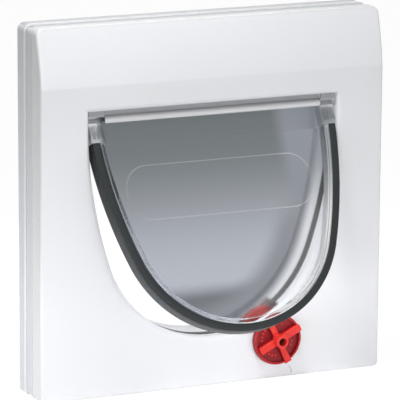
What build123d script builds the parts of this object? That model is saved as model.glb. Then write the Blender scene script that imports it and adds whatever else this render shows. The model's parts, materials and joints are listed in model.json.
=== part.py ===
"""Manual four-position cat flap for a door, with its flap standing open.

Frame of the model: X to the right, Z up, and the front of the flap towards -Y.
The origin is the middle of the bottom edge, on the plane where the two door frames meet.
Depths are measured forwards from that plane, so the front face is at +front_depth.
"""

from build123d import *
from math import acos, asin, cos, degrees, hypot, radians, sin, sqrt
import os

os.makedirs("parts", exist_ok=True)

# Outer frame sizes, in millimetres
frame_width = 241.0
frame_height = 240.0
top_corner_radius = 5.0
bottom_corner_radius = 3.0
wall = 2.5

# Front fascia: a flat face with a hood that curves back above the crease
front_depth = 26.0
fascia_rear_depth = 11.0
crease_drop = 38.5
crease_radius = 12.0
crease_angle = 6.5
hood_radius = 170.0
face_edge_radius = 1.5
lip_radius = 3.0
collar_wall = 3.6
collar_depth = 4.0

# Base frame behind the fascia: skirt, door flange and tunnel
skirt_inset = 0.6
skirt_wall = 4.0
tongue_clearance = 0.2
tongue_length = 3.0
flange_thickness = 2.5
tunnel_overrun = 6.0

# Back frame on the other side of the door, thinner at the bottom
back_depth_top = 14.4
back_depth_bottom = 11.5
back_edge_radius = 2.5
seam_bevel = 0.6
back_lip_bevel = 0.8
sleeve_clearance = 0.4

# Opening: straight top, long side arcs and one bottom arc, tighter than the half width by the taper
opening_side_margin = 33.2
opening_top_margin = 54.0
side_radius = 287.0
bottom_taper = 11.4

# Flap, drawn as it hangs closed and then swung forwards about its hinge
hinge_drop = 8.0
hinge_setback = 10.1
open_angle = 25.4
flap_thickness = 10.0
flap_clearance = 1.3
panel_thickness = 2.5
panel_top_rise = 1.0
rim_wall = 3.2
rim_top_drop = 10.0
rim_bevel = 0.5
foot_height = 5.0
seal_width = 4.9
seal_overhang = 1.3
seal_bevel = 0.5
seal_groove_depth = 1.6
seal_groove_width = 2.0
seal_lip = 1.0
lug_width = 9.65
lug_clearance = 0.7
lug_radius = 4.5
lug_overlap = 1.0
pad_length = 130.0
pad_height = 35.4
pad_corner_radius = 15.5
pad_drop = 48.2
pad_rise = 0.5

# Hinge pins and the cover strip that hides them
pin_radius = 1.5
pin_running_clearance = 0.06
pin_seat_clearance = 0.02
pin_end_gap = 0.6
pin_boss_radius = 4.5
pin_boss_length = 8.0
cover_end_clearance = 0.5
cover_end_radius = 2.5
cover_shelf = 1.8
cover_shelf_length = 12.3
cover_nose_radius = 2.6
cover_nose_setback = 2.0
cover_nose_gap = 3.2
cover_web = 2.6
cover_swing_clearance = 0.6
cover_peg_radius = 2.0
cover_peg_spacing = 100.0
cover_peg_rise = 3.6

# Weather strip let into the tunnel wall, in line with the closed flap
strip_width = 7.0
strip_thickness = 1.2
strip_top_drop = 16.0
strip_fit = 0.05

# Lock cam: two lobed rims behind the fascia, placed from the floor and from the tunnel wall
lock_station = 61.4
lock_wall_distance = 17.4
lobe_floor_gap = 2.0
lobe_reach = 4.5
lobe_margin = 32.0
rim_recess = 0.4
cam_relief = 0.5
cam_gap = 0.4
front_rim_thickness = 2.2
rear_rim_thickness = 4.3
core_radius = 6.5
notch_radius = 2.2
notch_depth = 0.8
front_journal_radius = 3.0
rear_journal_radius = 3.0
rear_journal_length = 2.4
journal_clearance = 0.08
bearing_boss_radius = 6.5
stub_length = 6.5
stub_flat = 0.9

# Lock dial: a rimmed disc with a grip bar, two flared ribs and a hub, and its index mark on the fascia
dial_radius = 16.7
dial_gap = 0.4
dial_height = 3.6
dial_floor = 1.4
dial_rim = 1.5
dial_bevel = 0.4
dial_angle = 26.5
grip_width = 5.0
grip_reach = 17.0
grip_tail = 14.9
grip_height = 6.2
grip_corner_radius = 1.2
grip_bevel = 0.5
rib_width = 3.4
rib_tip_width = 4.6
rib_height = 5.0
rib_reach = 15.4
pointer_reach = 17.2
hub_radius = 4.3
hub_height = 10.8
hub_hole_radius = 2.65
hub_hole_depth = 5.2
index_gap = 4.8
index_length = 4.6
index_width = 1.4
index_depth = 0.8
screw_head_radius = 2.5
screw_head_height = 1.8
screw_radius = 1.25
screw_length = 8.0
screw_tip_gap = 0.3
screw_cross = 0.8

# Click spring: a flat leaf that rides on the notched core
leaf_thickness = 0.5
leaf_width = 5.0
leaf_gap = 0.15
leaf_fit = 0.05
leaf_bow = 1.9
leaf_bow_length = 6.0
leaf_bend_radius = 2.0
leaf_overhang = 5.0
post_margin = 1.3
post_width = 5.0
post_height = 7.0
post_rise = 1.0

# Fixing screws that draw the two frames together through the door
fixing_side_margin = 16.5
fixing_end_margin = 20.0
fixing_radius = 2.0
fixing_length = 12.0
fixing_head_radius = 3.6
fixing_head_height = 2.4
fixing_head_bevel = 0.8
fixing_clearance = 0.1
fixing_boss_wall = 2.6
fixing_pad_height = 1.5
fixing_pad_margin = 1.0
fixing_tip_gap = 0.5

# Depths that follow from the sizes above
half_width = frame_width / 2
crease_height = frame_height - crease_drop
plate_rear_depth = front_depth - wall
collar_rear_depth = front_depth - collar_depth
hinge_depth = front_depth - hinge_setback
flap_front = flap_thickness / 2
panel_front = panel_thickness - flap_front
seal_rear = flap_front + seal_overhang
seal_thickness = flap_front + seal_rear
closed_rear = hinge_depth - seal_rear
front_rim_front = plate_rear_depth - cam_gap
front_rim_rear = front_rim_front - front_rim_thickness
rear_rim_front = closed_rear - cam_gap
rear_rim_rear = rear_rim_front - rear_rim_thickness
dial_base = front_depth + dial_gap
screw_seat = dial_base + hub_height - hub_hole_depth
leaf_rear = (front_rim_rear + rear_rim_front - leaf_width) / 2
leaf_front = leaf_rear + leaf_width
strip_rear = hinge_depth - strip_width / 2
fixing_seat = flange_thickness + fixing_pad_height
fixing_tip = fixing_seat - fixing_length

# The lock stands a lobe above the floor wall, and the opening's bottom arc passes it at lock_wall_distance
rim_radius = lock_wall_distance - rim_recess
lobe_radius = lock_wall_distance + lobe_reach
relief_radius = lobe_radius + cam_relief
lock_height = wall + lobe_floor_gap + lobe_radius
opening_half_width = half_width - opening_side_margin
bottom_radius = opening_half_width - bottom_taper
bottom_centre_height = lock_height + (bottom_radius + lock_wall_distance) * sin(radians(lock_station))
side_centre_x = opening_half_width - side_radius
side_sweep = degrees(acos(side_centre_x / (bottom_radius - side_radius)))
side_start_height = bottom_centre_height + (side_radius - bottom_radius) * sin(radians(side_sweep))
lock_x = (bottom_radius + lock_wall_distance) * cos(radians(lock_station))
wall_direction = 180 - lock_station
slot_x = lock_x + rim_radius * cos(radians(wall_direction))

# Heights and widths round the hinge, and the places of the smaller pieces
opening_top = frame_height - opening_top_margin
hinge_height = opening_top - hinge_drop
rim_top = hinge_height - rim_top_drop
seal_top = rim_top - foot_height
jamb_drop = max(side_start_height - seal_top, 0)
jamb_half_width = side_centre_x + sqrt(side_radius ** 2 - jamb_drop ** 2)
lug_outer = jamb_half_width - lug_clearance
lug_inner = lug_outer - lug_width
pin_start = lug_inner + pin_end_gap
pin_boss_end = opening_half_width + wall + pin_boss_length
pin_bore_end = pin_boss_end - pin_end_gap
pin_end = pin_bore_end - pin_end_gap
seal_inset = flap_clearance + seal_width
rim_inset = seal_inset + rim_wall
panel_swing_radius = hypot(flap_front, panel_top_rise)
cover_half_length = lug_inner - cover_end_clearance
cover_nose_front = front_depth - cover_nose_setback
cover_nose_bottom = opening_top - cover_nose_gap - 2 * cover_nose_radius
strip_top = hinge_height - strip_top_drop
sleeve_inner = wall + sleeve_clearance
leaf_height = core_radius + leaf_gap + leaf_bow
post_offset = relief_radius + post_margin
fixing_x = half_width - fixing_side_margin
fixing_pad_size = 2 * (fixing_head_radius + fixing_pad_margin)
fixing_high = frame_height - fixing_end_margin
fixing_points = [(-fixing_x, fixing_end_margin), (fixing_x, fixing_end_margin),
                 (-fixing_x, fixing_high), (fixing_x, fixing_high)]
peg_points = [(-cover_peg_spacing / 2, -hinge_depth), (cover_peg_spacing / 2, -hinge_depth)]

# Planes: one for side profiles and one that lies in the open flap
swing = radians(open_angle)
side_plane = Plane(origin=(0, 0, 0), x_dir=(0, -1, 0), z_dir=(-1, 0, 0))
flap_up = Vector(0, sin(swing), cos(swing))
flap_out = Vector(0, -cos(swing), sin(swing))
hinge_point = Vector(0, -hinge_depth, hinge_height)
flap_plane = Plane(origin=hinge_point - flap_up * hinge_height, x_dir=(1, 0, 0), z_dir=flap_out)


def level(depth):
    """Plane facing forwards at a depth; its own x and y are the model's X and Z."""
    return Plane.XZ.offset(depth)


def lock_level(depth):
    """Plane facing forwards at a depth, centred on the lock's axis."""
    return Plane(origin=(lock_x, -depth, lock_height), x_dir=(1, 0, 0), z_dir=(0, -1, 0))


def dial_level(depth):
    """Plane on the lock's axis, turned so that its x runs along the grip bar of the dial."""
    along_grip = (cos(radians(dial_angle)), 0, sin(radians(dial_angle)))
    return Plane(origin=(lock_x, -depth, lock_height), x_dir=along_grip, z_dir=(0, -1, 0))


def hinge_level(offset, direction):
    """Plane across the hinge axis at an offset from the middle, facing left (-1) or right (1)."""
    return Plane(origin=hinge_point + Vector(offset, 0, 0), x_dir=flap_out, z_dir=(direction, 0, 0))


def frame_face(inset):
    """Rounded outline of the door frames, moved inwards by inset."""
    with BuildSketch() as outline:
        with Locations((0, frame_height / 2)):
            Rectangle(frame_width - 2 * inset, frame_height - 2 * inset)
        fillet(outline.vertices().group_by(Axis.Y)[-1], max(top_corner_radius - inset, 0.5))
        fillet(outline.vertices().group_by(Axis.Y)[0], max(bottom_corner_radius - inset, 0.5))
    return outline.sketch


def opening_face(grow, top):
    """Outline of the opening, moved outwards by grow and closed by a straight edge at height top."""
    start = (opening_half_width + grow, side_start_height)
    ceiling = max(frame_height, side_start_height) + wall
    with BuildSketch() as outline:
        with BuildLine():
            side = JernArc(start, (0, -1), side_radius + grow, -side_sweep)
            JernArc(side @ 1, side % 1, bottom_radius + grow, side_sweep - 90)
            Polyline(start, (start[0], ceiling), (0, ceiling))
            mirror(about=Plane.YZ)
        make_face()
        with Locations((0, top)):
            Rectangle(2 * frame_width, frame_height, align=(Align.CENTER, Align.MIN), mode=Mode.SUBTRACT)
    return outline.sketch


def hood_profile(inset, rear):
    """Side profile of the fascia, from a rear depth to its face, moved inwards by inset."""
    crease_point = (front_depth - inset, crease_height)
    bend_radius = crease_radius - inset
    arc_radius = hood_radius - inset
    bend_rise = bend_radius * sin(radians(crease_angle))
    hood_rise = frame_height - inset - crease_height - bend_rise
    hood_end = degrees(asin(hood_rise / arc_radius + sin(radians(crease_angle))))
    with BuildSketch() as outline:
        with BuildLine():
            bend = JernArc(crease_point, (0, 1), bend_radius, crease_angle)
            hood = JernArc(bend @ 1, bend % 1, arc_radius, hood_end - crease_angle)
            Polyline(hood @ 1, (rear, frame_height - inset), (rear, inset), (front_depth - inset, inset),
                     crease_point)
        make_face()
    return outline.sketch


def back_profile(inset, front):
    """Side profile of the back frame, from a front depth to its sloping back, moved inwards by inset."""
    with BuildSketch() as outline:
        with BuildLine():
            Polyline((front, inset), (inset - back_depth_bottom, inset),
                     (inset - back_depth_top, frame_height - inset), (front, frame_height - inset),
                     close=True)
        make_face()
    return outline.sketch


def strip_face():
    """Section of the weather strip along the tunnel wall, with a gap at the slot of the lock."""
    with BuildSketch() as outline:
        add(opening_face(strip_thickness - strip_fit, strip_top - strip_fit))
        add(opening_face(0, opening_top), mode=Mode.SUBTRACT)
        with Locations((lock_x, lock_height)):
            Circle(relief_radius, mode=Mode.SUBTRACT)
    return outline.sketch


def rim_face(first, last):
    """Cam rim: a disc with one raised lobe between two angles from the direction of the tunnel wall."""
    lobe_start = wall_direction + first - lobe_margin
    lobe_sweep = last - first + 2 * lobe_margin
    with BuildSketch() as outline:
        Circle(rim_radius)
        with BuildLine():
            lobe = CenterArc((0, 0), lobe_radius, lobe_start, lobe_sweep)
            Polyline(lobe @ 1, (0, 0), lobe @ 0)
        make_face()
    return outline.sketch


def on_border(edge):
    """True for an edge that runs along the outside of a door frame."""
    middle = edge.center()
    past_side = abs(middle.X) > half_width - wall / 2 - 0.5
    return past_side or middle.Z < wall / 2 or middle.Z > frame_height - wall / 2 - 0.5


def on_opening(edge):
    """True for an edge that runs round the opening of a door frame."""
    middle = edge.center()
    margin = sleeve_inner + wall
    return abs(middle.X) < opening_half_width + margin and margin < middle.Z < opening_top + margin


# Front fascia: the hooded cover with a rounded lip round the opening
with BuildPart() as front_fascia:
    with BuildSketch(level(fascia_rear_depth)):
        add(frame_face(0))
    extrude(amount=front_depth - fascia_rear_depth)
    with BuildSketch(side_plane):
        add(hood_profile(0, fascia_rear_depth))
    extrude(amount=half_width, both=True, mode=Mode.INTERSECT)
    forward_edges = front_fascia.edges().filter_by(
        lambda edge: max((edge @ 0).Y, (edge @ 1).Y) < -fascia_rear_depth - face_edge_radius
    )
    fillet(forward_edges.filter_by(lambda edge: edge.length < frame_width - 1), face_edge_radius)
    with BuildSketch(side_plane):
        add(hood_profile(wall, fascia_rear_depth - wall))
    extrude(amount=half_width - wall, both=True, mode=Mode.SUBTRACT)
    with BuildSketch(level(collar_rear_depth)):
        add(opening_face(collar_wall, opening_top + collar_wall))
    extrude(amount=plate_rear_depth - collar_rear_depth)
    with BuildSketch(level(collar_rear_depth)):
        add(opening_face(0, opening_top))
    extrude(amount=collar_depth, mode=Mode.SUBTRACT)
    face_edges = front_fascia.edges().filter_by(
        lambda edge: max((edge @ 0).Y, (edge @ 1).Y) < 0.01 - front_depth
    )
    fillet(face_edges.filter_by(on_opening), lip_radius)
    with BuildSketch(lock_level(collar_rear_depth)):
        Circle(relief_radius)
    extrude(amount=plate_rear_depth - collar_rear_depth, mode=Mode.SUBTRACT)
    with BuildSketch(lock_level(plate_rear_depth)):
        Circle(front_journal_radius + journal_clearance)
    extrude(amount=wall, mode=Mode.SUBTRACT)
    with BuildSketch(dial_level(front_depth - index_depth)):
        with Locations((0, -pointer_reach - index_gap)):
            Rectangle(index_width, index_length, align=(Align.CENTER, Align.MAX))
    extrude(amount=2 * index_depth, mode=Mode.SUBTRACT)
front_fascia.part.label = "front_fascia"
export_step(front_fascia.part, "parts/front_fascia.step")

# Base frame: skirt and flange against the door, with the tunnel that the flap hangs in
with BuildPart() as inner_frame:
    with BuildSketch(level(0)):
        add(frame_face(skirt_inset))
    extrude(amount=fascia_rear_depth)
    with BuildSketch(level(fascia_rear_depth)):
        add(frame_face(wall + tongue_clearance))
    extrude(amount=tongue_length)
    with BuildSketch(level(flange_thickness)):
        add(frame_face(skirt_inset + skirt_wall))
    extrude(amount=front_depth, mode=Mode.SUBTRACT)
    with BuildSketch(level(-tunnel_overrun)):
        add(opening_face(wall, opening_top + wall))
    extrude(amount=collar_rear_depth + tunnel_overrun)
    for side in (-1, 1):
        with BuildSketch(hinge_level(side * jamb_half_width, side)):
            Circle(pin_boss_radius)
        extrude(amount=pin_boss_end - jamb_half_width)
    with BuildSketch(level(flange_thickness)):
        with Locations(*fixing_points):
            Rectangle(fixing_pad_size, fixing_pad_size)
    extrude(amount=fixing_pad_height)
    with BuildSketch(lock_level(flange_thickness)):
        Circle(bearing_boss_radius)
    extrude(amount=rear_rim_rear - cam_gap - flange_thickness)
    with BuildSketch(lock_level(flange_thickness)):
        with Locations((post_offset, leaf_height)):
            Rectangle(post_width, post_height, align=(Align.MIN, Align.CENTER))
    extrude(amount=leaf_front + post_rise - flange_thickness)
    with BuildSketch(level(-tunnel_overrun)):
        add(opening_face(0, opening_top))
    extrude(amount=collar_rear_depth + tunnel_overrun, mode=Mode.SUBTRACT)
    with BuildSketch(level(strip_rear)):
        add(opening_face(strip_thickness, strip_top))
    extrude(amount=strip_width, mode=Mode.SUBTRACT)
    with BuildSketch(lock_level(rear_rim_rear - cam_gap)):
        Circle(relief_radius)
    extrude(amount=front_depth, mode=Mode.SUBTRACT)
    with BuildSketch(lock_level(rear_rim_rear - rear_journal_length - cam_gap)):
        Circle(rear_journal_radius + journal_clearance)
    extrude(amount=front_depth, mode=Mode.SUBTRACT)
    with BuildSketch(lock_level(leaf_rear - leaf_fit)):
        with Locations((post_offset, leaf_height)):
            Rectangle(2 * post_width, leaf_thickness + 2 * leaf_fit)
    extrude(amount=front_depth, mode=Mode.SUBTRACT)
    with BuildSketch(level(0)):
        with Locations(*fixing_points):
            Circle(fixing_radius + fixing_clearance)
    extrude(amount=front_depth, mode=Mode.SUBTRACT)
    with BuildSketch(hinge_level(-pin_bore_end, 1)):
        Circle(pin_radius + pin_seat_clearance)
    extrude(amount=2 * pin_bore_end, mode=Mode.SUBTRACT)
    with BuildSketch(Plane.XY.offset(opening_top)):
        with Locations(*peg_points):
            Circle(cover_peg_radius + pin_seat_clearance)
    extrude(amount=wall, mode=Mode.SUBTRACT)
inner_frame.part.label = "inner_frame"
export_step(inner_frame.part, "parts/inner_frame.step")

# Back frame: a shallow tray with a sleeve round the tunnel and bosses for the fixing screws
with BuildPart() as outer_frame:
    with BuildSketch(level(-back_depth_top)):
        add(frame_face(0))
    extrude(amount=back_depth_top)
    with BuildSketch(side_plane):
        add(back_profile(wall, wall))
    extrude(amount=half_width - wall, both=True, mode=Mode.SUBTRACT)
    with BuildSketch(level(-back_depth_top)):
        add(opening_face(sleeve_inner + wall, opening_top + sleeve_inner + wall))
        with Locations(*fixing_points):
            Circle(fixing_radius + fixing_boss_wall)
    extrude(amount=back_depth_top)
    with BuildSketch(side_plane):
        add(back_profile(0, 0))
    extrude(amount=half_width, both=True, mode=Mode.INTERSECT)
    with BuildSketch(level(-back_depth_top)):
        add(opening_face(sleeve_inner, opening_top + sleeve_inner))
    extrude(amount=back_depth_top, mode=Mode.SUBTRACT)
    with BuildSketch(level(fixing_tip - fixing_tip_gap)):
        with Locations(*fixing_points):
            Circle(fixing_radius + pin_seat_clearance)
    extrude(amount=back_depth_top, mode=Mode.SUBTRACT)
    back_edges = outer_frame.edges().filter_by(
        lambda edge: min((edge @ 0).Y, (edge @ 1).Y) > back_depth_bottom - 0.1
    )
    chamfer(back_edges.filter_by(on_opening), back_lip_bevel)
    back_edges = outer_frame.edges().filter_by(
        lambda edge: min((edge @ 0).Y, (edge @ 1).Y) > back_depth_bottom - 0.1
    )
    fillet(back_edges.filter_by(on_border), back_edge_radius)
    chamfer(outer_frame.edges().group_by(Axis.Y)[0].filter_by(on_border), seam_bevel)
outer_frame.part.label = "outer_frame"
export_step(outer_frame.part, "parts/outer_frame.step")

# Hinge cover: a shelf under the top of the opening, with a round nose that hangs before the hinge on a web
with BuildPart() as hinge_cover:
    with BuildSketch(side_plane):
        with Locations((cover_nose_front - cover_nose_radius, opening_top)):
            Rectangle(cover_shelf_length, cover_shelf, align=(Align.MAX, Align.MAX))
            Rectangle(cover_web, cover_nose_gap + cover_nose_radius, align=(Align.MAX, Align.MAX))
        with Locations((cover_nose_front - cover_nose_radius, cover_nose_bottom + cover_nose_radius)):
            Circle(cover_nose_radius)
        with Locations((hinge_depth, hinge_height)):
            Circle(panel_swing_radius + cover_swing_clearance, mode=Mode.SUBTRACT)
    extrude(amount=cover_half_length, both=True)
    with BuildSketch(level(0)) as cover_front:
        with Locations((0, cover_nose_bottom)):
            Rectangle(2 * cover_half_length, opening_top_margin, align=(Align.CENTER, Align.MIN))
        fillet(cover_front.vertices().group_by(Axis.Z)[0], cover_end_radius)
    extrude(amount=front_depth, mode=Mode.INTERSECT)
    with BuildSketch(Plane.XY.offset(opening_top)):
        with Locations(*peg_points):
            Circle(cover_peg_radius)
    extrude(amount=cover_peg_rise)
hinge_cover.part.label = "hinge_cover"
export_step(hinge_cover.part, "parts/hinge_cover.step")

# Hinge pins: steel, fixed in the jambs and running in the lugs of the flap
with BuildPart() as hinge_pin_left:
    with BuildSketch(hinge_level(-pin_start, -1)):
        Circle(pin_radius)
    extrude(amount=pin_end - pin_start)
hinge_pin_left.part.label = "hinge_pin_left"
export_step(hinge_pin_left.part, "parts/hinge_pin_left.step")

with BuildPart() as hinge_pin_right:
    with BuildSketch(hinge_level(pin_start, 1)):
        Circle(pin_radius)
    extrude(amount=pin_end - pin_start)
hinge_pin_right.part.label = "hinge_pin_right"
export_step(hinge_pin_right.part, "parts/hinge_pin_right.step")

# Weather strip in the tunnel wall, in two lengths that end at the slot of the lock
with BuildPart() as opening_seal_left:
    with BuildSketch(level(strip_rear + strip_fit)):
        add(strip_face())
        with Locations((slot_x, 0)):
            Rectangle(frame_width, frame_height, align=(Align.MIN, Align.MIN), mode=Mode.SUBTRACT)
    extrude(amount=strip_width - 2 * strip_fit)
opening_seal_left.part.label = "opening_seal_left"
export_step(opening_seal_left.part, "parts/opening_seal_left.step")

with BuildPart() as opening_seal_right:
    with BuildSketch(level(strip_rear + strip_fit)):
        add(strip_face())
        with Locations((slot_x, 0)):
            Rectangle(frame_width, frame_height, align=(Align.MAX, Align.MIN), mode=Mode.SUBTRACT)
    extrude(amount=strip_width - 2 * strip_fit)
opening_seal_right.part.label = "opening_seal_right"
export_step(opening_seal_right.part, "parts/opening_seal_right.step")

# Flap: a clear tray with a raised rim, lugs on the hinge axis and a bare raised pad
with BuildPart() as flap_panel:
    with BuildSketch(flap_plane.offset(-flap_front)):
        add(opening_face(-seal_inset, rim_top))
    extrude(amount=flap_thickness)
    with BuildSketch(flap_plane.offset(panel_front)):
        add(opening_face(-rim_inset, hinge_height))
    extrude(amount=flap_thickness, mode=Mode.SUBTRACT)
    rim_edges = flap_panel.edges().filter_by(
        lambda edge: flap_plane.to_local_coords(edge.center()).Z > flap_front - 0.01
        and edge.length > 2 * rim_wall
    )
    chamfer(rim_edges, rim_bevel)
    with BuildSketch(flap_plane.offset(-flap_front)):
        with Locations((0, rim_top)):
            Rectangle(2 * lug_inner + lug_overlap, rim_top_drop + panel_top_rise,
                      align=(Align.CENTER, Align.MIN))
    extrude(amount=panel_thickness)
    for side in (-1, 1):
        with BuildSketch(hinge_level(side * lug_inner, side)):
            Circle(lug_radius)
            Rectangle(2 * lug_radius, rim_top_drop,
                      align=(Align.CENTER, Align.MAX if side < 0 else Align.MIN))
        extrude(amount=lug_width)
    with BuildSketch(flap_plane.offset(-flap_front)):
        with Locations((0, rim_top)):
            Rectangle(2 * lug_outer, foot_height, align=(Align.CENTER, Align.MAX))
            Rectangle(2 * lug_inner, foot_height, align=(Align.CENTER, Align.MAX), mode=Mode.SUBTRACT)
    extrude(amount=flap_thickness)
    with BuildSketch(flap_plane.offset(panel_front)):
        with Locations((0, hinge_height - pad_drop)):
            RectangleRounded(pad_length, pad_height, pad_corner_radius)
    extrude(amount=pad_rise)
    with BuildSketch(hinge_level(-lug_outer, 1)):
        Circle(pin_radius + pin_running_clearance)
    extrude(amount=2 * lug_outer, mode=Mode.SUBTRACT)
flap_panel.part.label = "flap_panel"
export_step(flap_panel.part, "parts/flap_panel.step")

# Rubber edge of the flap: a U-shaped band with a groove that parts a thin front lip from its body
with BuildPart() as flap_seal:
    with BuildSketch(flap_plane.offset(-seal_rear)):
        add(opening_face(-flap_clearance, seal_top))
    extrude(amount=seal_thickness)
    border_edges = flap_seal.edges().filter_by(
        lambda edge: flap_plane.to_local_coords(edge.center()).Y < seal_top - 0.1
        and not 0.01 - seal_rear < flap_plane.to_local_coords(edge.center()).Z < flap_front - 0.01
    )
    chamfer(border_edges, seal_bevel)
    with BuildSketch(flap_plane.offset(-seal_rear)):
        add(opening_face(-seal_inset, hinge_height))
    extrude(amount=seal_thickness, mode=Mode.SUBTRACT)
    with BuildSketch(flap_plane.offset(flap_front - seal_lip - seal_groove_width)):
        add(opening_face(0, hinge_height))
        add(opening_face(-flap_clearance - seal_groove_depth, hinge_height), mode=Mode.SUBTRACT)
    extrude(amount=seal_groove_width, mode=Mode.SUBTRACT)
flap_seal.part.label = "flap_seal"
export_step(flap_seal.part, "parts/flap_seal.step")

# Lock cam: two lobed rims on a notched core, with a journal at each end
with BuildPart() as lock_cam:
    with BuildSketch(lock_level(rear_rim_rear - rear_journal_length)):
        Circle(rear_journal_radius)
    extrude(amount=rear_journal_length)
    with BuildSketch(lock_level(rear_rim_rear)):
        add(rim_face(180, 270))
    extrude(amount=rear_rim_thickness)
    with BuildSketch(lock_level(rear_rim_front)):
        Circle(core_radius)
        with PolarLocations(core_radius + notch_radius - notch_depth, 4):
            Circle(notch_radius, mode=Mode.SUBTRACT)
    extrude(amount=front_rim_rear - rear_rim_front)
    with BuildSketch(lock_level(front_rim_rear)):
        add(rim_face(90, 180))
    extrude(amount=front_rim_thickness)
    with BuildSketch(lock_level(front_rim_front)):
        Circle(front_journal_radius)
    extrude(amount=stub_length)
    with BuildSketch(dial_level(dial_base)):
        with Locations((0, front_journal_radius - stub_flat)):
            Rectangle(2 * front_journal_radius, stub_flat, align=(Align.CENTER, Align.MIN))
    extrude(amount=stub_length, mode=Mode.SUBTRACT)
    with BuildSketch(lock_level(screw_seat - screw_length - screw_tip_gap)):
        Circle(screw_radius + pin_seat_clearance)
    extrude(amount=screw_length, mode=Mode.SUBTRACT)
lock_cam.part.label = "lock_cam"
export_step(lock_cam.part, "parts/lock_cam.step")

# Lock dial: a rimmed disc with a grip bar, two flared ribs and a hub over the screw
with BuildPart() as lock_dial:
    with BuildSketch(lock_level(dial_base)):
        Circle(dial_radius)
    extrude(amount=dial_height)
    chamfer(lock_dial.edges().group_by(Axis.Y)[0], dial_bevel)
    with BuildSketch(lock_level(dial_base + dial_floor)):
        Circle(dial_radius - dial_rim)
    extrude(amount=dial_height, mode=Mode.SUBTRACT)
    with BuildSketch(dial_level(dial_base)):
        with BuildLine():
            Polyline((-rib_width / 2, 0), (-rib_tip_width / 2, -pointer_reach),
                     (rib_tip_width / 2, -pointer_reach), (rib_width / 2, 0),
                     (rib_tip_width / 2, rib_reach), (-rib_tip_width / 2, rib_reach), close=True)
        make_face()
    extrude(amount=rib_height)
    chamfer(lock_dial.edges().group_by(Axis.Y)[0], grip_bevel)
    with BuildSketch(dial_level(dial_base)):
        with Locations(((grip_reach - grip_tail) / 2, 0)):
            RectangleRounded(grip_reach + grip_tail, grip_width, grip_corner_radius)
    extrude(amount=grip_height)
    chamfer(lock_dial.edges().group_by(Axis.Y)[0], grip_bevel)
    with BuildSketch(lock_level(dial_base)):
        Circle(hub_radius)
    extrude(amount=hub_height)
    chamfer(lock_dial.edges().group_by(Axis.Y)[0], grip_bevel)
    with BuildSketch(lock_level(screw_seat)):
        Circle(hub_hole_radius)
    extrude(amount=hub_height, mode=Mode.SUBTRACT)
    with BuildSketch(lock_level(dial_base)):
        Circle(screw_radius + fixing_clearance)
    extrude(amount=hub_height, mode=Mode.SUBTRACT)
    with BuildSketch(dial_level(dial_base)):
        Circle(front_journal_radius + pin_seat_clearance)
        with Locations((0, front_journal_radius - stub_flat + pin_seat_clearance)):
            Rectangle(3 * front_journal_radius, front_journal_radius, align=(Align.CENTER, Align.MIN),
                      mode=Mode.SUBTRACT)
    extrude(amount=front_rim_front + stub_length + screw_tip_gap - dial_base, mode=Mode.SUBTRACT)
lock_dial.part.label = "lock_dial"
export_step(lock_dial.part, "parts/lock_dial.step")

# Lock screw: sits at the bottom of the hub's hole and pulls the dial onto the cam
with BuildPart() as lock_screw:
    with BuildSketch(lock_level(screw_seat)):
        Circle(screw_head_radius)
    extrude(amount=screw_head_height)
    with BuildSketch(lock_level(screw_seat - screw_length)):
        Circle(screw_radius)
    extrude(amount=screw_length)
    with BuildSketch(lock_level(screw_seat + screw_head_height / 2)):
        Rectangle(2 * screw_radius, screw_cross)
        Rectangle(screw_cross, 2 * screw_radius)
    extrude(amount=screw_head_height, mode=Mode.SUBTRACT)
lock_screw.part.label = "lock_screw"
export_step(lock_screw.part, "parts/lock_screw.step")

# Click spring: a flat leaf held in the slotted post, bowed towards the notched core
with BuildPart() as click_spring:
    with BuildSketch(lock_level(leaf_rear)):
        with BuildLine():
            FilletPolyline((post_offset + post_width, leaf_height), (leaf_bow_length, leaf_height),
                           (0, core_radius + leaf_gap + leaf_thickness / 2),
                           (-leaf_overhang, leaf_height), radius=leaf_bend_radius)
        trace(line_width=leaf_thickness)
    extrude(amount=leaf_width)
click_spring.part.label = "click_spring"
export_step(click_spring.part, "parts/click_spring.step")

# Fixing screws: cheese heads on the flange pads, shanks in the bosses of the back frame
for number, point in enumerate(fixing_points, start=1):
    with BuildPart() as fixing_screw:
        with BuildSketch(level(fixing_seat)):
            with Locations(point):
                Circle(fixing_head_radius)
        extrude(amount=fixing_head_height)
        chamfer(fixing_screw.edges().group_by(Axis.Y)[0], fixing_head_bevel)
        with BuildSketch(level(fixing_tip)):
            with Locations(point):
                Circle(fixing_radius)
        extrude(amount=fixing_seat - fixing_tip)
        with BuildSketch(level(fixing_seat + fixing_head_height / 2)):
            with Locations(point):
                Rectangle(2 * fixing_radius, screw_cross)
                Rectangle(screw_cross, 2 * fixing_radius)
        extrude(amount=fixing_head_height, mode=Mode.SUBTRACT)
    fixing_screw.part.label = f"fixing_screw_{number}"
    export_step(fixing_screw.part, f"parts/fixing_screw_{number}.step")
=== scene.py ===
"""Looks of a cat flap for a door: white frames, a clear smoke-tinted flap with a rubber edge, a red lock."""

import json
from math import cos, radians, sin, tan

import bpy
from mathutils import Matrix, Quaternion, Vector


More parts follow.
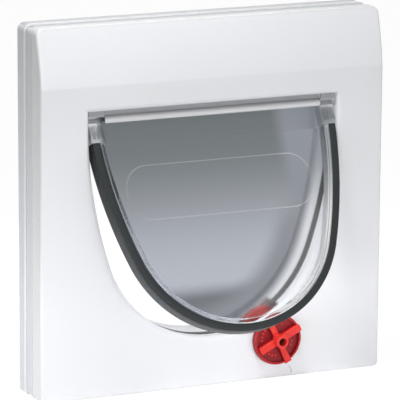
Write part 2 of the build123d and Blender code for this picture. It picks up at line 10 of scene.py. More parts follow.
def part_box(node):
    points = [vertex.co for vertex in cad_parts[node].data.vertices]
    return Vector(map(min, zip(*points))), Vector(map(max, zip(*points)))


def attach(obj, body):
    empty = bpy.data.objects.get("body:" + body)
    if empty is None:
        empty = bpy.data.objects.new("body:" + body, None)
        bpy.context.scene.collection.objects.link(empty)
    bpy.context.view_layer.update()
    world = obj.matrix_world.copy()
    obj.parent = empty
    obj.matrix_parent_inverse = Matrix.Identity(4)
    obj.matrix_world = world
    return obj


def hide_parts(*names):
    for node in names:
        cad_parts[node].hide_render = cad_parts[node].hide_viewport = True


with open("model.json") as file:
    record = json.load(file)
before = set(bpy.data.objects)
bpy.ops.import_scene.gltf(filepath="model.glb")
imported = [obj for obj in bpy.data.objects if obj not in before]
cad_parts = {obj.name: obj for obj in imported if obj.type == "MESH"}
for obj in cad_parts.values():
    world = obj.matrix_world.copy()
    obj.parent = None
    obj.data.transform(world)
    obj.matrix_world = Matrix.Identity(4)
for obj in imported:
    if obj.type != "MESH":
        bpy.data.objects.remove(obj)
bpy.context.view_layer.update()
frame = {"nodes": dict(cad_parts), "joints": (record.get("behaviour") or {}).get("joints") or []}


# Back frame
# The shallow white tray that closes the door's other side, injection moulded in gloss plastic and drawn
# to the base frame by four screws. Only the faint start of the painted shade line shows on its rear edge.
class Field:
    """A node socket that takes part in arithmetic and feeds other nodes."""

    def __init__(self, tree, socket):
        self.tree = tree
        self.socket = socket

    def node(self, kind, settings, values, output=0):
        """A new node of any kind: its settings first, then its socket values and links."""
        made = self.tree.nodes.new(kind)
        for name, value in settings.items():
            setattr(made, name, value)
        for key, value in values.items():
            if isinstance(value, Field):
                self.tree.links.new(value.socket, made.inputs[key])
            else:
                made.inputs[key].default_value = value
        return Field(self.tree, made.outputs[output])

    def maths(self, operation, *values):
        """A Math node on one value or on two."""
        return self.node("ShaderNodeMath", {"operation": operation}, dict(enumerate(values)))

    def __add__(self, other):
        return self.maths("ADD", self, other)

    def __radd__(self, other):
        return self.maths("ADD", other, self)

    def __sub__(self, other):
        return self.maths("SUBTRACT", self, other)

    def __rsub__(self, other):
        return self.maths("SUBTRACT", other, self)

    def __mul__(self, other):
        return self.maths("MULTIPLY", self, other)

    def __rmul__(self, other):
        return self.maths("MULTIPLY", other, self)

    def __neg__(self):
        return self.maths("MULTIPLY", self, -1.0)

    def __abs__(self):
        return self.maths("ABSOLUTE", self)


def new_material(name):
    """A fresh material with its Principled shader and its object coordinates."""
    material = bpy.data.materials.new(name)
    material.use_nodes = True
    tree = material.node_tree
    coordinates = tree.nodes.new("ShaderNodeTexCoord")
    return material, tree.nodes["Principled BSDF"], Field(tree, coordinates.outputs["Object"])


def feed(shader, **inputs):
    """Sets or links inputs of a shader; underscores stand for spaces in their names."""
    for key, value in inputs.items():
        socket = shader.inputs[key.replace("_", " ")]
        if isinstance(value, Field):
            value.tree.links.new(value.socket, socket)
        else:
            socket.default_value = value


def axes(place):
    """The three coordinates of a place: across the door, into it and up."""
    parted = place.node("ShaderNodeSeparateXYZ", {}, {0: place}).socket.node
    return [Field(place.tree, socket) for socket in parted.outputs]


def blend(factor, first, second):
    """Colour between two colours. A Mix node keeps colours at its inputs 6 and 7 and its output 2."""
    return factor.node("ShaderNodeMix", {"data_type": "RGBA"}, {0: factor, 6: first, 7: second}, 2)


def ramp(value, start, end):
    """Soft step from 0 to 1 between two values."""
    return value.node("ShaderNodeMapRange", {"interpolation_type": "SMOOTHSTEP"},
                      {"Value": value, "From Min": start, "From Max": end})


def noise(place, scale, detail=2.0):
    """Soft random shades, the same at every run."""
    return place.node("ShaderNodeTexNoise", {}, {"Vector": place, "Scale": scale, "Detail": detail})


def rippled(place, strength, scale, **under):
    """A normal with the fine unevenness of a skin, over another normal where one is given."""
    bump = {"Strength": strength, "Distance": 0.0002, "Height": noise(place, scale), **under}
    return place.node("ShaderNodeBump", {}, bump)


def white_moulding(name, gloss, rounding, wall_tone, top_tone, front_edge, rear_edge):
    """White gloss plastic with faint flow shades, softened edges and a slight ripple of its moulded skin. Its
    outer walls and top take the given tones as painted shade. A painted highlight runs along the walls' front
    edge, and a thin painted shade line runs along their rear edge. The top is painted less shaded in a strip
    behind its front edge."""
    shaded_white = (0.815, 0.823, 0.85, 1.0)
    full_white = (0.855, 0.863, 0.89, 1.0)
    # Painted light and shade: a highlight on the walls' front edge, a less shaded top strip and a rear shade
    # line
    painted_edge_highlight = (0.95, 0.955, 0.97, 1.0)
    top_front_tone = (0.74, 0.745, 0.76, 1.0)
    painted_seam_shade = (0.3, 0.31, 0.33, 1.0)
    highlight_width, highlight_fade = 0.0016, 0.0012
    top_front_width, top_front_fade = 0.003, 0.003
    seam_shade_width = 0.0006
    skin_depth, skin_fade = 0.0016, 0.0007
    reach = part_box("outer_frame")[1]
    material, shader, place = new_material(name)
    across, depth, height = axes(place)
    flow = noise(place, scale=14.0)
    skin = blend(flow, shaded_white, full_white)
    highlight_end = front_edge + highlight_width
    wall = blend(ramp(depth, highlight_end + highlight_fade, highlight_end), wall_tone, painted_edge_highlight)
    wall = blend(ramp(depth, rear_edge - seam_shade_width, rear_edge), wall, painted_seam_shade)
    wall_start = reach.x - skin_depth
    skin = blend(ramp(abs(across), wall_start, wall_start + skin_fade), skin, wall)
    top_front_end = front_edge + top_front_width
    top = blend(ramp(depth, top_front_end + top_front_fade, top_front_end), top_tone, top_front_tone)
    top_start = reach.z - skin_depth
    skin = blend(ramp(height, top_start, top_start + skin_fade), skin, top)
    soft_edges = place.node("ShaderNodeBevel", {"samples": 6}, {"Radius": rounding})
    feed(shader, Base_Color=skin, Roughness=gloss - 0.05 + flow * 0.1, IOR=1.5,
         Normal=rippled(place, strength=0.04, scale=900.0, Normal=soft_edges))
    return material


weld_distance = 0.000002
smoothing = bpy.data.node_groups.new("weld_and_smooth", "GeometryNodeTree")
smoothing.interface.new_socket("Geometry", in_out="INPUT", socket_type="NodeSocketGeometry")
sharp_angle = smoothing.interface.new_socket("Sharp Angle", in_out="INPUT", socket_type="NodeSocketFloat")
smoothing.interface.new_socket("Geometry", in_out="OUTPUT", socket_type="NodeSocketGeometry")
entry = smoothing.nodes.new("NodeGroupInput")
body = Field(smoothing, entry.outputs["Geometry"])
body = body.node("GeometryNodeMergeByDistance", {}, {"Geometry": body, "Distance": weld_distance})
body = body.node("GeometryNodeSetShadeSmooth", {"domain": "FACE"}, {"Geometry": body, "Shade Smooth": True})
bend = body.node("GeometryNodeInputMeshEdgeAngle", {}, {})
crisp = bend.node("FunctionNodeCompare", {"data_type": "FLOAT", "operation": "GREATER_THAN"},
                  {0: bend, 1: Field(smoothing, entry.outputs["Sharp Angle"])})
body = body.node("GeometryNodeSetShadeSmooth", {"domain": "EDGE"},
                 {"Geometry": body, "Selection": crisp, "Shade Smooth": False})
leave = smoothing.nodes.new("NodeGroupOutput")
smoothing.links.new(body.socket, leave.inputs["Geometry"])


def dress(name, material):
    """Gives a CAD node its one material and shades its curves smooth."""
    node = frame["nodes"][name]
    node.data.materials.clear()
    node.data.materials.append(material)
    smooth = node.modifiers.new("smooth", "NODES")
    smooth.node_group = smoothing
    smooth[sharp_angle.identifier] = radians(28.0)
    weighted = node.modifiers.new("flat_faces_lead", "WEIGHTED_NORMAL")
    weighted.keep_sharp = True


# Painted shade: the grey of the frames' tops; the wall tones below are painted shade on their outer walls
painted_top_shade = (0.47, 0.49, 0.515, 1.0)
back_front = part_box("outer_frame")[0].y
white_back = white_moulding("white_back", gloss=0.26, rounding=0.003, wall_tone=(0.75, 0.775, 0.83, 1.0),
                            top_tone=painted_top_shade, front_edge=back_front, rear_edge=0.0148)
dress("outer_frame", white_back)

# Base frame
# The white frame on the near side of the door, with the tunnel that the flap hangs in. Its moulded skin is
# a little duller than the fascia that covers it.
fascia_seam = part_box("front_fascia")[1].y
# Its wall tone is painted shade on its outer walls
white_satin = white_moulding("white_satin", gloss=0.3, rounding=0.003, wall_tone=(0.77, 0.79, 0.83, 1.0),
                             top_tone=painted_top_shade, front_edge=fascia_seam, rear_edge=back_front)
dress("inner_frame", white_satin)

# Fixing screws
# Four plain steel screws. They go through the flange of the base frame into the bosses of the back frame
# and hold the door between the two.
dull_steel = (0.5, 0.5, 0.52, 1.0)
bright_steel = (0.66, 0.66, 0.67, 1.0)
steel, shader, place = new_material("plain_steel")
grain = noise(place, scale=600.0, detail=3.0)
feed(shader, Base_Color=blend(grain, dull_steel, bright_steel), Metallic=1.0, Roughness=0.25 + grain * 0.15)
for number in range(1, 5):
    dress("fixing_screw_" + str(number), steel)

# Weather strip
# Two lengths of dark extruded rubber, parted by the slot of the lock. They are pressed into the groove of
# the tunnel, level with the closed flap.
dark_strip = (0.008, 0.0115, 0.0125, 1.0)
bloomed_strip = (0.016, 0.021, 0.0225, 1.0)
rubber, shader, place = new_material("dark_rubber")
bloom = noise(place, scale=60.0, detail=3.0)
feed(shader, Base_Color=blend(bloom, dark_strip, bloomed_strip), Roughness=0.38 + bloom * 0.15, IOR=1.5,
     Normal=rippled(place, strength=0.1, scale=1500.0))
for side in ("left", "right"):
    dress("opening_seal_" + side, rubber)

# Lock cam and click spring
# A red gloss moulding with two lobed rims, which the dial turns from the front, and a bent leaf of spring
# steel that clicks in the notches of its core.
deep_red = (0.72, 0.028, 0.024, 1.0)
full_red = (0.8, 0.04, 0.03, 1.0)
red, shader, place = new_material("red_gloss")
flow = noise(place, scale=90.0)
feed(shader, Base_Color=blend(flow, deep_red, full_red), Roughness=0.24 + flow * 0.1, IOR=1.5)
dress("lock_cam", red)
dress("click_spring", steel)

# Hinge pins
# Two short pins of plain steel rod, one at each side. They stand in the jambs and carry the lugs of
# the flap.
for side in ("left", "right"):
    dress("hinge_pin_" + side, steel)

# Flap
# A clear polished tray, smoke-tinted in its field. The tint is painted with the shade and light of what shows
# through it: dark below the hinge, paler towards the foot, and clear in a crescent along its right edge. Its
# rim and lugs are clear, painted with shade, light and dark lines, and a bare raised pad with a painted glint
# runs across it.
joint_places = {joint["name"]: joint["pos_m"] for joint in frame["joints"]}
hinge_place = joint_places["flap_swing"]
open_angle = radians(25.4)
side_radius = 0.283325
side_centre = 0.1997
side_drop = 0.00124
bottom_radius = 0.072225
bottom_drop = 0.06968
tangent_angle = radians(18.91)
rim_inset = 0.005725


def on_flap(place):
    """A place in the flap's own terms: across it, down along it from the hinge, and forward of its middle."""
    across, depth, height = axes(place)
    behind = depth - hinge_place[1]
    above = height - hinge_place[2]
    down = behind * -sin(open_angle) - above * cos(open_angle)
    forward = above * sin(open_angle) - behind * cos(open_angle)
    return across, down, forward


def length(first, second):
    """Length of the diagonal over two sides."""
    squares = first * first + second * second
    return squares.maths("SQRT", squares)


def inside_rim(across, down):
    """Distance inwards from the inner edge of the rim: two side arcs that run into one bottom arc."""
    below = down - bottom_drop
    from_side = side_radius - rim_inset - length(abs(across) + side_centre, down - side_drop)
    from_bottom = bottom_radius - rim_inset - length(across, below)
    lower = below.maths("GREATER_THAN", below, abs(across) * tan(tangent_angle))
    return from_side + (from_bottom - from_side) * lower


def place_at(x, y, z):
    """A vector from three sizes, at least one of which is a field."""
    field = [size for size in (x, y, z) if isinstance(size, Field)][0]
    return field.node("ShaderNodeCombineXYZ", {}, {0: x, 1: y, 2: z})


def drawn(distance, half_width):
    """1 along a thin line, where a distance is nought, and 0 beyond half its width."""
    core = 0.0001
    return ramp(abs(distance), half_width, core)


clear, shader, place = new_material("clear_smoke")
across, down, forward = on_flap(place)
inwards = inside_rim(across, down)
field = ramp(inwards, 0.0, 0.0006)
towards_foot = ramp(down, 0.03, 0.085)

# Smoke tint of the field with painted shade and light, and the clear crescent beside it with painted shade at
# its top
smoke_and_shade_at_hinge = (0.138, 0.157, 0.165, 1.0)
smoke_and_light_at_foot = (0.42, 0.443, 0.495, 1.0)
painted_shade_below_foot = (0.142, 0.155, 0.172, 1.0)
painted_light_upper_right = (0.24, 0.257, 0.291, 1.0)
painted_shade_by_crescent = (0.235, 0.25, 0.278, 1.0)
painted_shade_crescent_top = (0.6, 0.62, 0.645, 1.0)
crescent_foot = (0.93, 0.935, 0.94, 1.0)
field_top, field_foot, floor_end = 0.015, 0.108, 0.121
crescent_lean, crescent_shift, crescent_rise, crescent_width = 0.202, 0.0132, 0.0079, 0.0094
haze = blend(ramp(down, field_top, field_foot), smoke_and_shade_at_hinge, smoke_and_light_at_foot)
smoke = blend(ramp(down, field_foot, floor_end), haze, painted_shade_below_foot)
upper_right = ramp(across, 0.043, 0.055) * ramp(down, 0.08, 0.05)
smoke = blend(upper_right, smoke, painted_light_upper_right)
leaning = across + down * crescent_lean + crescent_shift
from_crescent = inside_rim(leaning, down + crescent_rise) + crescent_width
by_crescent = ramp(from_crescent, 0.018, 0.002) * ramp(down, 0.05, 0.08)
smoke = blend(by_crescent, smoke, painted_shade_by_crescent)
crescent = blend(towards_foot, painted_shade_crescent_top, crescent_foot)
smoked = ramp(from_crescent, -0.0105, -0.0025)
field_tone = blend(smoked, crescent, smoke)

# Painted glint along the edge of the raised pad, plainest at its right end
painted_pad_glint = (0.95, 0.955, 0.96, 1.0)
pad_half_length, pad_half_height, pad_rounding = 0.0495, 0.0022, 0.0155
pad_drop = 0.0482
left_strength, right_gain = 0.45, 0.5
beyond_end = across.maths("MAXIMUM", abs(across) - pad_half_length, 0.0)
beyond_side = down.maths("MAXIMUM", abs(down - pad_drop) - pad_half_height, 0.0)
from_pad = length(beyond_end, beyond_side) - pad_rounding
on_front = ramp(forward, -0.0035, -0.003)
right_end = ramp(across, 0.03, 0.055)
pad_glint_mask = drawn(from_pad, half_width=0.0005) * on_front * (left_strength + right_end * right_gain)
field_tone = blend(pad_glint_mask, field_tone, painted_pad_glint)

# Rim, painted with the field's shade on its left, dark at the top right and pale towards the foot, and with
# painted dark streaks and lines along its right side
shaded_right_rim_top = (0.36, 0.375, 0.39, 1.0)
right_rim_foot = (0.9, 0.91, 0.92, 1.0)
painted_streak_grey = (0.05, 0.055, 0.06, 1.0)
painted_line_grey = (0.07, 0.076, 0.08, 1.0)
streak_strength, line_strength = 0.25, 0.75
line_distances = (0.0009, 0.0026)
right_rim = blend(towards_foot, shaded_right_rim_top, right_rim_foot)
right_of_middle = ramp(across, -0.035, 0.02)
rim_tone = blend(right_of_middle, haze, right_rim)
rim_noise = noise(place_at(inwards, 0.0, 0.0), scale=1300.0)
rim_streak = ramp(rim_noise, 0.42, 0.58) * ramp(across, 0.0, 0.03)
rim_tone = blend(rim_streak * streak_strength, rim_tone, painted_streak_grey)
lined_side = ramp(across, 0.02, 0.05)
for outwards in line_distances:
    rim_line = drawn(inwards + outwards, half_width=0.0004) * lined_side
    rim_tone = blend(rim_line * line_strength, rim_tone, painted_line_grey)

# Lugs, frosted and streaked, painted with shade, with painted light at the top and foot and painted shade on
# the inner end
shaded_lug_grey = (0.2, 0.212, 0.225, 1.0)
lug_pale = (0.52, 0.54, 0.56, 1.0)
painted_light_lug_foot = (0.5, 0.52, 0.54, 1.0)
painted_light_lug_top = (0.66, 0.67, 0.69, 1.0)
painted_shade_lug_end = (0.2, 0.21, 0.225, 1.0)
streak_stretch = 0.15
lug_noise = noise(place_at(across, down * streak_stretch, 0.0), scale=650.0)
lug_streak = ramp(lug_noise, 0.5, 0.68)
at_lug_foot = ramp(down, 0.0115, 0.0135)
at_lug_top = ramp(down, 0.0045, 0.0025)
at_inner_end = ramp(abs(across), 0.0782, 0.0774)
lug_tone = blend(lug_streak, shaded_lug_grey, lug_pale)
lug_tone = blend(at_lug_foot, lug_tone, painted_light_lug_foot)
lug_tone = blend(at_lug_top, lug_tone, painted_light_lug_top)
lug_tone = blend(at_inner_end, lug_tone, painted_shade_lug_end)
lug = ramp(down, 0.0165, 0.0145)
rim_tone = blend(lug, rim_tone, lug_tone)
feed(shader, Base_Color=blend(field, rim_tone, field_tone), Roughness=0.03 + field * 0.06 + lug * 0.35,
     IOR=1.49, Transmission_Weight=1.0)
dress("flap_panel", clear)

# Light goes through the clear tray, so it casts no shadow
frame["nodes"]["flap_panel"].visible_shadow = False


# Rubber edge of the flap
# A dark flexible band with a thin front lip, extruded, pushed onto the edge of the tray and bent round it:
# two long side arcs that run into one bottom arc.
def plan(name, sizes):
    """A new node tree with one named input for each size, and those inputs as fields."""
    tree = bpy.data.node_groups.new(name, "GeometryNodeTree")
    tree.interface.new_socket("Geometry", in_out="INPUT", socket_type="NodeSocketGeometry")
    for size in sizes:
        tree.interface.new_socket(size, in_out="INPUT", socket_type="NodeSocketFloat")
    tree.interface.new_socket("Geometry", in_out="OUTPUT", socket_type="NodeSocketGeometry")
    entry = tree.nodes.new("NodeGroupInput")
    return tree, {size: Field(tree, entry.outputs[size]) for size in sizes}


def grow(name, tree, sizes, shape, material):
    """Ends the tree and turns its result into one plain mesh object."""
    shape = shape.node("GeometryNodeRealizeInstances", {}, {"Geometry": shape})
    shape = shape.node("GeometryNodeSetMaterial", {}, {"Geometry": shape, "Material": material})
    leave = tree.nodes.new("NodeGroupOutput")
    tree.links.new(shape.socket, leave.inputs["Geometry"])
    piece = bpy.data.objects.new(name, bpy.data.meshes.new(name))
    bpy.context.scene.collection.objects.link(piece)
    growth = piece.modifiers.new("growth", "NODES")
    growth.node_group = tree
    for socket in tree.interface.items_tree:
        if socket.name in sizes:
            growth[socket.identifier] = sizes[socket.name]
    grown = piece.evaluated_get(bpy.context.evaluated_depsgraph_get())
    piece.data = bpy.data.meshes.new_from_object(grown)
    piece.modifiers.remove(growth)
    piece.data.shade_smooth()
    piece.data.set_sharp_from_angle(angle=radians(40.0))
    return piece


def moved(shape, x, y):
    """A shape moved in its own plane."""
    return shape.node("GeometryNodeTransform", {}, {"Geometry": shape, "Translation": place_at(x, y, 0.0)})


def arc(radius, start, sweep, steps):
    """One arc of the path, in the flap's own plane: x across, y up along it."""
    return radius.node("GeometryNodeCurveArc", {"mode": "RADIUS"},
                       {"Resolution": steps, "Radius": radius, "Start Angle": start, "Sweep Angle": sweep})


def rounded(width, height, rounding):
    """A rectangle with rounded corners."""
    shape = width.node("GeometryNodeCurvePrimitiveQuadrilateral", {"mode": "RECTANGLE"},
                       {"Width": width, "Height": height})
    return shape.node("GeometryNodeFilletCurve", {"mode": "POLY"},
                      {"Curve": shape, "Radius": rounding, "Limit Radius": True, "Count": 3})


def joined(parts):
    """Several geometries as one."""
    tree = parts[0].tree
    made = tree.nodes.new("GeometryNodeJoinGeometry")
    for part in parts:
        tree.links.new(part.socket, made.inputs[0])
    return Field(tree, made.outputs[0])


edge_sizes = {"Side Radius": side_radius, "Side Centre": side_centre, "Side Drop": side_drop,
              "Bottom Radius": bottom_radius, "Bottom Drop": bottom_drop,
              "Top Angle": radians(2.784), "Tangent Angle": tangent_angle, "Width": 0.00475,
              "Body Depth": 0.0083, "Body Setback": 0.00215, "Neck Width": 0.00315, "Neck Depth": 0.003,
              "Neck Rise": 0.003, "Lip Depth": 0.001, "Lip Rise": 0.0044, "Rounding": 0.0005}
side_steps, bottom_steps = 60, 140
weld_of_arcs = 0.00005
half_turn = radians(180.0)
edge_band, size = plan("rubber_edge", edge_sizes)

# Path of the band
tangent = size["Tangent Angle"]
turn = tangent - size["Top Angle"]
right = arc(size["Side Radius"], -size["Top Angle"], -turn, side_steps)
right = moved(right, -size["Side Centre"], -size["Side Drop"])
bottom = arc(size["Bottom Radius"], -tangent, tangent * 2.0 - half_turn, bottom_steps)
bottom = moved(bottom, 0.0, -size["Bottom Drop"])
left = arc(size["Side Radius"], tangent + half_turn, -turn, side_steps)
left = moved(left, size["Side Centre"], -size["Side Drop"])
band = joined([right, bottom, left])
band = band.node("GeometryNodeCurveToMesh", {}, {"Curve": band})
band = band.node("GeometryNodeMergeByDistance", {}, {"Geometry": band, "Distance": weld_of_arcs})
band = band.node("GeometryNodeMeshToCurve", {}, {"Mesh": band})
band = band.node("GeometryNodeSetCurveNormal", {"mode": "Z_UP"}, {"Curve": band})

# Section of the band: x runs inwards across its width and y backwards
body = rounded(size["Width"], size["Body Depth"], size["Rounding"])
neck = rounded(size["Neck Width"], size["Neck Depth"], size["Rounding"])
lip = rounded(size["Width"], size["Lip Depth"], size["Rounding"])
section = joined([moved(body, 0.0, size["Body Setback"]),
                  moved(neck, (size["Width"] - size["Neck Width"]) * 0.5, -size["Neck Rise"]),
                  moved(lip, 0.0, -size["Lip Rise"])])
band = band.node("GeometryNodeCurveToMesh", {}, {"Curve": band, "Profile Curve": section, "Fill Caps": True})
band = band.node("GeometryNodeTransform", {}, {"Geometry": band, "Translation": hinge_place,
                                               "Rotation": (radians(90.0) - open_angle, 0.0, 0.0)})

# Rubber of the band: lighter behind its groove, more so towards the foot, with painted shade in its groove
# and painted light on its inner face, where it shows through the clear rim
dark_lip = (0.007, 0.0105, 0.0115, 1.0)
bloomed_lip = (0.013, 0.018, 0.0195, 1.0)
rear_top_end = (0.012, 0.0165, 0.018, 1.0)
rear_foot = (0.085, 0.094, 0.1, 1.0)
painted_groove_shade = (0.002, 0.003, 0.0035, 1.0)
painted_light_grey = (0.34, 0.355, 0.37, 1.0)
groove_rear, groove_front, groove_fade = 0.0018, 0.0043, 0.0004
edge_rubber, shader, place = new_material("edge_rubber")
across, down, forward = on_flap(place)
bloom = noise(place, scale=60.0, detail=3.0)
tone = blend(bloom, dark_lip, bloomed_lip)
rear_tone = blend(ramp(down, 0.04, 0.14), rear_top_end, rear_foot)
behind_lip = ramp(forward, 0.0024, groove_rear)
tone = blend(behind_lip, tone, rear_tone)
in_groove = ramp(forward, groove_rear, groove_rear + groove_fade)
in_groove = in_groove * ramp(forward, groove_front, groove_front - groove_fade)
tone = blend(in_groove, tone, painted_groove_shade)
seen_through_rim = ramp(inside_rim(across, down), -0.0041, -0.0036) * ramp(forward, 0.0036, 0.003)
tone = blend(seen_through_rim, tone, painted_light_grey)
feed(shader, Base_Color=tone, Roughness=0.4 + bloom * 0.15, IOR=1.5, Specular_IOR_Level=0.36,
     Normal=rippled(place, strength=0.1, scale=1500.0))
rubber_edge = grow("rubber_edge", edge_band, edge_sizes, band, edge_rubber)
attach(rubber_edge, "flap")
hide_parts("flap_seal")


# Lug tabs
# A thin clear tab moulded on the inner end of each lug. It closes the slit that the lug's running gap leaves
# beside the hinge cover.
def one_each_side(shape, spacing, depth, height):
    """A shape twice, at the left and at the right of the middle."""
    spots = shape.node("GeometryNodeMeshLine", {"mode": "END_POINTS"},
                       {"Count": 2, "Start Location": place_at(-spacing, depth, height),
                        "Offset": place_at(spacing, depth, height)})
    return shape.node("GeometryNodeInstanceOnPoints", {}, {"Points": spots, "Instance": shape})


tab_sizes = {"Tab Thickness": 0.00035, "Tab Depth": 0.004, "Tab Height": 0.0036, "Tab Spacing": 0.076375,
             "Tab Middle": -0.02, "Tab Level": 0.1806}
tabs, size = plan("lug_tabs", tab_sizes)
tab_box = place_at(size["Tab Thickness"], size["Tab Depth"], size["Tab Height"])
tab = tab_box.node("GeometryNodeMeshCube", {}, {"Size": tab_box})
tab = one_each_side(tab, size["Tab Spacing"], size["Tab Middle"], size["Tab Level"])
lug_tabs = grow("lug_tabs", tabs, tab_sizes, tab, clear)
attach(lug_tabs, "flap")

# Hinge cover
# A white strip pegged under the top of the opening, in front of the hinge. Painted shade greys its upper
# part, under the fascia, and darkens its ends. A thin wing at each end closes the gap above a lug.
unshaded_strip = (0.83, 0.835, 0.85, 1.0)
painted_shade_strip = (0.33, 0.335, 0.355, 1.0)
painted_shade_end = (0.16, 0.165, 0.18, 1.0)
strip_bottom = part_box("hinge_cover")[0].z
white_strip, shader, place = new_material("white_strip")
across, depth, height = axes(place)
flow = noise(place, scale=14.0)
# Painted shade: grey over the upper part of the strip and its wings, and dark at its ends
shaded = ramp(height, strip_bottom + 0.0005, strip_bottom + 0.0065)
strip_end = ramp(abs(across), 0.0756, 0.076)
before_wing = ramp(abs(across), 0.0763, 0.0762)
strip_tone = blend(shaded, unshaded_strip, painted_shade_strip)
strip_tone = blend(strip_end * before_wing, strip_tone, painted_shade_end)
feed(shader, Base_Color=strip_tone, Roughness=0.2 + flow * 0.1, IOR=1.5)
dress("hinge_cover", white_strip)
wing_sizes = {"Wing Width": 0.0108, "Wing Height": 0.0073, "Wing Thickness": 0.0012, "Rounding": 0.0006,
              "Wing Spacing": 0.0815, "Wing Front": -0.0236, "Wing Level": 0.18585}
wings, size = plan("cover_wings", wing_sizes)
outline = rounded(size["Wing Width"], size["Wing Height"], size["Rounding"])
rearwards = outline.node("GeometryNodeCurvePrimitiveLine", {},
                         {"End": place_at(0.0, size["Wing Thickness"], 0.0)})
wing = rearwards.node("GeometryNodeCurveToMesh", {},
                      {"Curve": rearwards, "Profile Curve": outline, "Fill Caps": True})
wing = one_each_side(wing, size["Wing Spacing"], size["Wing Front"], size["Wing Level"])
cover_wings = grow("cover_wings", wings, wing_sizes, wing, white_strip)
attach(cover_wings, "frame")

# Front fascia
# The hooded white gloss cover that hides the screws, injection moulded and snapped over the base frame. No
# painted highlight shows on its front edge, so that edge is set out of its reach. Its top takes painted
# shade, and a thin painted shade line runs along the rear edge of its walls.
out_of_reach = -0.035
white_gloss = white_moulding("white_gloss", gloss=0.22, rounding=0.0012, wall_tone=(0.86, 0.87, 0.885, 1.0),
                             top_tone=(0.76, 0.765, 0.78, 1.0), front_edge=out_of_reach,
                             rear_edge=fascia_seam)
dress("front_fascia", white_gloss)

# Lock dial and its screw
# The red dial on the shaft of the cam, with polished ribs over a deep matt floor, held by a small dark screw
# at the bottom of its hub. Its floor and rim are painted darker as shade, and the screw's black carries a
# painted red reflection. One to four raised pips in its quarters count the lock's positions.
shaded_floor_red = (0.27, 0.008, 0.014, 1.0)
shaded_rim_red = (0.46, 0.012, 0.02, 1.0)
rib_red = (0.76, 0.03, 0.025, 1.0)
rib_bright_red = (0.84, 0.045, 0.033, 1.0)
red_dial, shader, place = new_material("red_dial")
depth = axes(place)[1]
flow = noise(place, scale=90.0)
raised = ramp(depth, -0.0284, -0.0299)
rib = ramp(depth, -0.0301, -0.0312)
polish = blend(rib, shaded_rim_red, blend(flow, rib_red, rib_bright_red))
feed(shader, Base_Color=blend(raised, shaded_floor_red, polish), Roughness=0.45 - raised * 0.2, IOR=1.5,
     Specular_IOR_Level=0.3)
dress("lock_dial", red_dial)

dial_across, _, dial_level = joint_places["lock_turn"]
pip_sizes = {"Pip Radius": 0.0009, "Ring Radius": 0.0108, "First Angle": radians(71.5),
             "Pip Turn": radians(13.0), "Floor Depth": -0.0278}
quarter_turn = radians(90.0)
pip_count = 1 + 2 + 3 + 4
pips, size = plan("position_pips", pip_sizes)

# The first quarter has one pip and each next one has one more, so a pip's number gives its quarter
number = size["Pip Radius"].node("GeometryNodeInputIndex", {}, {})
root = number.maths("SQRT", number * 8.0 + 1.0)
quarter = root.maths("FLOOR", (root - 1.0) * 0.5)
in_quarter = number - quarter * (quarter + 1.0) * 0.5
angle = size["First Angle"] - quarter * quarter_turn + (in_quarter - quarter * 0.5) * size["Pip Turn"]
pip_across = angle.maths("COSINE", angle) * size["Ring Radius"] + dial_across
pip_level = angle.maths("SINE", angle) * size["Ring Radius"] + dial_level
dots = angle.node("GeometryNodePoints", {}, {
    "Count": pip_count, "Position": place_at(pip_across, size["Floor Depth"], pip_level)})
pip = dots.node("GeometryNodeMeshUVSphere", {}, {"Segments": 14, "Rings": 8, "Radius": size["Pip Radius"]})
pip = dots.node("GeometryNodeInstanceOnPoints", {}, {"Points": dots, "Instance": pip})
position_pips = grow("position_pips", pips, pip_sizes, pip, red)
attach(position_pips, "lock")

# The screw's black takes a painted red reflection of the dial around it; its wear varies at random
black_with_painted_red = (0.05, 0.005, 0.006, 1.0)
wear_with_painted_red = (0.075, 0.009, 0.009, 1.0)
black, shader, place = new_material("black_steel")
wear = noise(place, scale=700.0)
feed(shader, Base_Color=blend(wear, black_with_painted_red, wear_with_painted_red), Roughness=0.6 + wear * 0.2,
     Specular_IOR_Level=0.15)
dress("lock_screw", black)


# Ground, surroundings and light
# A white ground that keeps a faint shadow, a white sky for what sees it straight, and soft lamps: a wide one
# in front, one over the hood, four low ones round the foot and one behind the flap.
def seen_straight(tree):
    """1 for what is seen, mirrored or looked at through the flap, and 0 for light that falls on the part."""
    rays = tree.nodes.new("ShaderNodeLightPath").outputs
    seen = Field(tree, rays["Is Camera Ray"]) + Field(tree, rays["Is Glossy Ray"])
    return seen + Field(tree, rays["Is Transmission Ray"])


scene = bpy.context.scene
bpy.ops.mesh.primitive_plane_add(size=8.0, location=(0.0, 0.0, 0.0))
ground = bpy.context.object
ground.name = "ground"
sheet, shader, _ = new_material("ground_white")
feed(shader, Base_Color=(0.86, 0.86, 0.86, 1.0), Roughness=0.9)
links = sheet.node_tree.links
shine = sheet.node_tree.nodes.new("ShaderNodeEmission")
shine.inputs["Strength"].default_value = 1.07
mixed = sheet.node_tree.nodes.new("ShaderNodeMixShader")
shining_share = 0.9
shining = seen_straight(sheet.node_tree) * shining_share
links.new(shining.socket, mixed.inputs[0])
links.new(shader.outputs[0], mixed.inputs[1])
links.new(shine.outputs[0], mixed.inputs[2])
links.new(mixed.outputs[0], sheet.node_tree.nodes["Material Output"].inputs["Surface"])
ground.data.materials.append(sheet)

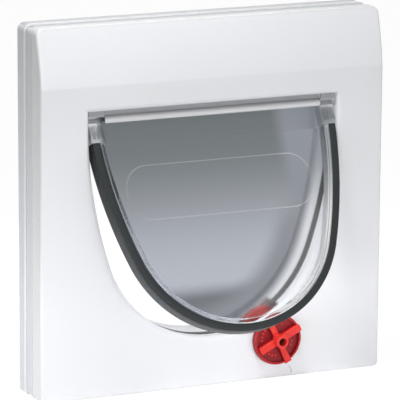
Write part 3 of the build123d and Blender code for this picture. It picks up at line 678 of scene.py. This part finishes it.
lit_strength, seen_strength = 0.08, 1.0
world = bpy.data.worlds.new("sky")
scene.world = world
world.use_nodes = True
seen = seen_straight(world.node_tree)
strength = seen.node("ShaderNodeMapRange", {},
                     {"Value": seen, "To Min": lit_strength, "To Max": seen_strength})
sky = world.node_tree.nodes["Background"]
sky.inputs["Color"].default_value = (1.0, 1.0, 1.0, 1.0)
world.node_tree.links.new(strength.socket, sky.inputs["Strength"])

lit_place = Vector((0.0, 0.0, 0.1))
lamps = [("front_soft", (0.0, -1.5, 0.4), 0.8, 0.5, 6.0, True),
         ("over_hood", (-0.13, -0.12, 0.72), 0.12, 0.25, 2.7, True),
         ("low_left", (-0.16, -0.16, 0.02), 0.1, 0.04, 0.06, True),
         ("low_side", (-0.3, 0.02, 0.025), 0.12, 0.05, 0.14, True),
         ("low_right", (0.15, -0.18, 0.015), 0.1, 0.04, 0.035, True),
         ("low_front", (0.02, -0.34, 0.04), 0.5, 0.1, 0.2, True),
         ("behind", (-0.06, 0.45, 0.1), 0.12, 0.12, 1.5, False)]
for name, lamp_place, width, tall, power, mirrored in lamps:
    lamp = bpy.data.lights.new(name, "AREA")
    lamp.shape = "RECTANGLE"
    lamp.size = width
    lamp.size_y = tall
    lamp.energy = power
    holder = bpy.data.objects.new(name, lamp)
    holder.visible_transmission = False
    holder.visible_glossy = mirrored
    holder.location = lamp_place
    holder.rotation_mode = "QUATERNION"
    holder.rotation_quaternion = (lit_place - holder.location).to_track_quat("-Z", "Y")
    scene.collection.objects.link(holder)

# Camera
# The place and lens that the edges in the photo give: to the left of the part and a little above it, with
# a slight roll.
azimuth = radians(-25.2)
elevation = radians(12.38)
roll = radians(0.46)
distance = 2.30676
target = Vector((0.0018, 0.0, 0.11721))
away = Vector((sin(azimuth) * cos(elevation), -cos(azimuth) * cos(elevation), sin(elevation)))
lens = bpy.data.cameras.new("camera")
lens.lens = 320.4
lens.sensor_width = 36.0
lens.clip_end = 50.0
camera = bpy.data.objects.new("camera", lens)
camera.location = target + away * distance
camera.rotation_mode = "QUATERNION"
camera.rotation_quaternion = (-away).to_track_quat("-Z", "Y") @ Quaternion((0.0, 0.0, 1.0), roll)
scene.collection.objects.link(camera)
scene.camera = camera
scene.view_settings.view_transform = "Standard"
